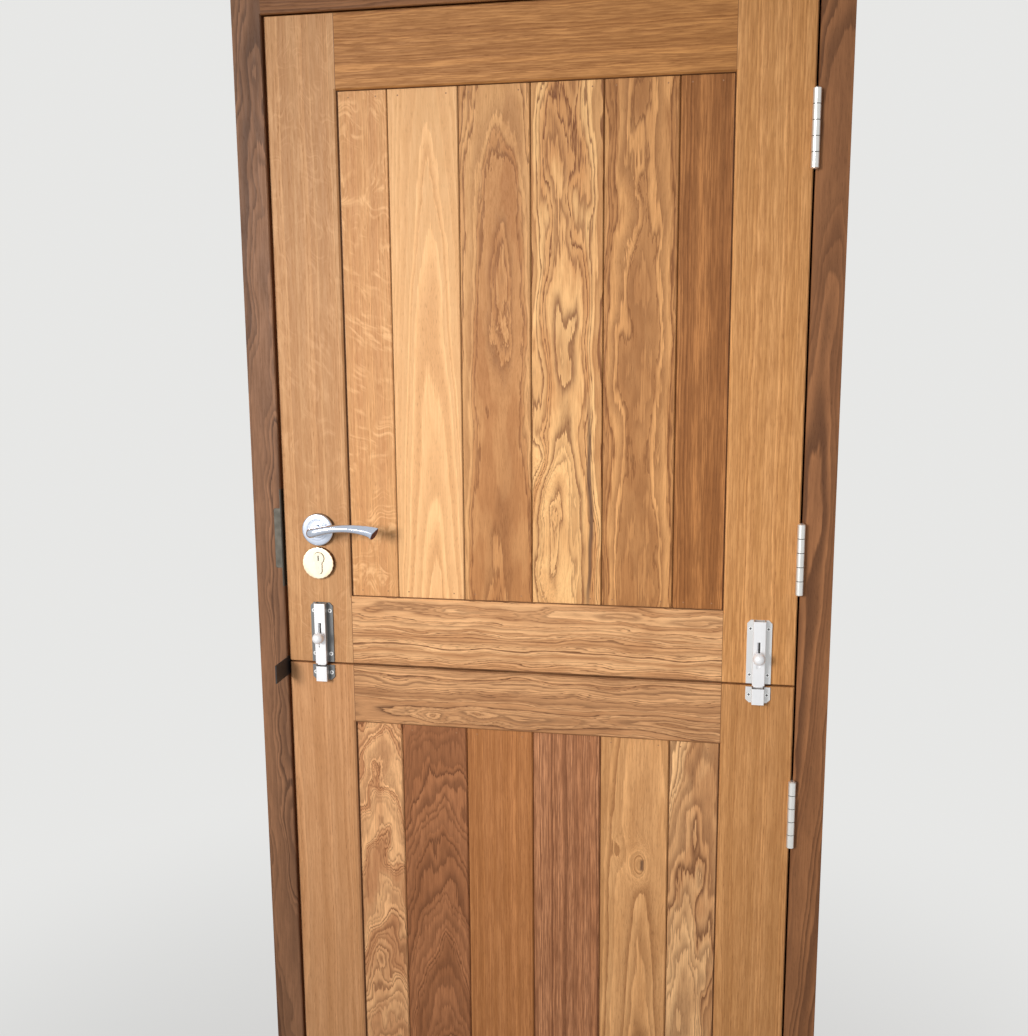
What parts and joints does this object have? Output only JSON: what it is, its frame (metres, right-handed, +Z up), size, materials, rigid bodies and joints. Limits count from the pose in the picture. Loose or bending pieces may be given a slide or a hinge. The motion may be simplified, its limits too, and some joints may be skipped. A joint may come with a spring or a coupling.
{
  "type": "dutch stable door with frame",
  "caption": "Stable door in two leaves hung on butt hinges in an oak frame, with boarded panels, lever lock and surface bolts.",
  "frame": {"origin": "middle of the underside of the sill", "axes": "+X from the lock side to the hinge side, +Y from the front face with the hinge knuckles into the room behind, +Z up"},
  "size_m": [0.858, 0.1435, 2.078],
  "materials": {
    "frame_oak": "oiled reddish-brown oak, fine open grain",
    "leaf_oak": "oiled golden oak, each board with its own grain",
    "hinge_steel": "satin stainless steel",
    "screw_steel": "plain bright steel",
    "bolt_aluminium": "satin anodised, drawn along its length",
    "satin_chrome": "satin chrome plate",
    "pale_brass": "pale bare base plate",
    "cylinder_nickel": "satin nickel plate",
    "strike_steel": "dull grey steel",
    "lock_steel": "zinc plated steel",
    "dark_plastic": "near-black flat plastic"
  },
  "bodies": {
    "frame": {"jamb_lock": "frame_oak", "jamb_hinge": "frame_oak", "head": "frame_oak", "sill": "frame_oak", "frame_stops": "frame_oak", "strike_plate": "strike_steel", "gap_packer": "dark_plastic", "hinge_pins": "hinge_steel", "frame_screws_and_washers": "screw_steel", "hinge_1_frame_leaf": "hinge_steel", "hinge_2_frame_leaf": "hinge_steel", "hinge_3_frame_leaf": "hinge_steel", "hinge_4_frame_leaf": "hinge_steel"},
    "upper_leaf": {"upper_lock_stile": "leaf_oak", "upper_hinge_stile": "leaf_oak", "upper_top_rail": "leaf_oak", "upper_meeting_rail": "leaf_oak", "upper_board_1": "leaf_oak", "upper_board_2": "leaf_oak", "upper_board_3": "leaf_oak", "upper_board_4": "leaf_oak", "upper_board_5": "leaf_oak", "upper_board_6": "leaf_oak", "upper_board_pins": "screw_steel", "upper_screws": "screw_steel", "hinge_1_door_leaf": "hinge_steel", "hinge_2_door_leaf": "hinge_steel", "lock_case": "lock_steel", "lock_cylinder": "cylinder_nickel", "rose_outside": "satin_chrome", "rose_inside": "satin_chrome", "escutcheon_outside": "pale_brass", "escutcheon_inside": "pale_brass", "bolt_left_base": "bolt_aluminium", "bolt_right_base": "bolt_aluminium"},
    "lower_leaf": {"lower_lock_stile": "leaf_oak", "lower_hinge_stile": "leaf_oak", "lower_meeting_rail": "leaf_oak", "lower_bottom_rail": "leaf_oak", "lower_board_1": "leaf_oak", "lower_board_2": "leaf_oak", "lower_board_3": "leaf_oak", "lower_board_4": "leaf_oak", "lower_board_5": "leaf_oak", "lower_board_6": "leaf_oak", "lower_board_pins": "screw_steel", "lower_screws": "screw_steel", "hinge_3_door_leaf": "hinge_steel", "hinge_4_door_leaf": "hinge_steel", "bolt_left_keep": "bolt_aluminium", "bolt_right_keep": "bolt_aluminium"},
    "lever": {"lever_outside": "satin_chrome", "lever_inside": "satin_chrome", "spindle": "lock_steel", "follower": "lock_steel"},
    "latch": {"latch_bolt": "lock_steel"},
    "dead_bolt": {"dead_bolt": "lock_steel"},
    "cylinder_plug": {"cylinder_plug": "cylinder_nickel"},
    "left_bolt": {"bolt_left_rod": "bolt_aluminium"},
    "right_bolt": {"bolt_right_rod": "bolt_aluminium"}
  },
  "joints": [
    {"name": "upper_leaf_swing", "type": "hinge", "parent": "frame", "child": "upper_leaf", "pos_m": [0.3835, -0.0529, 1.5595], "axis": [0, 0, 1], "range_deg": [0, 120]},
    {"name": "lower_leaf_swing", "type": "hinge", "parent": "frame", "child": "lower_leaf", "pos_m": [0.3835, -0.0529, 0.5675], "axis": [0, 0, 1], "range_deg": [0, 120]},
    {"name": "lever_turn", "type": "hinge", "parent": "upper_leaf", "child": "lever", "pos_m": [-0.325, -0.025, 1.2965], "axis": [0, 1, 0], "range_deg": [0, 45], "stiffness_Nm_per_rad": 1.2, "springref_deg": -22.92},
    {"name": "latch_slide", "type": "slide", "parent": "upper_leaf", "child": "latch", "axis": [-1, 0, 0], "range_m": [0, 0.011]},
    {"name": "cylinder_turn", "type": "hinge", "parent": "upper_leaf", "child": "cylinder_plug", "pos_m": [-0.325, -0.025, 1.253], "axis": [0, 1, 0], "range_deg": [0, 360]},
    {"name": "dead_bolt_slide", "type": "slide", "parent": "upper_leaf", "child": "dead_bolt", "axis": [-1, 0, 0], "range_m": [0, 0.02]},
    {"name": "left_bolt_slide", "type": "slide", "parent": "upper_leaf", "child": "left_bolt", "axis": [0, 0, -1], "range_m": [-0.019, 0.014]},
    {"name": "right_bolt_slide", "type": "slide", "parent": "upper_leaf", "child": "right_bolt", "axis": [0, 0, -1], "range_m": [-0.019, 0.014]}
  ],
  "couplings": [
    {"joint": "cylinder_turn", "follows": "dead_bolt_slide", "rad_per_m": 314.16}
  ]
}
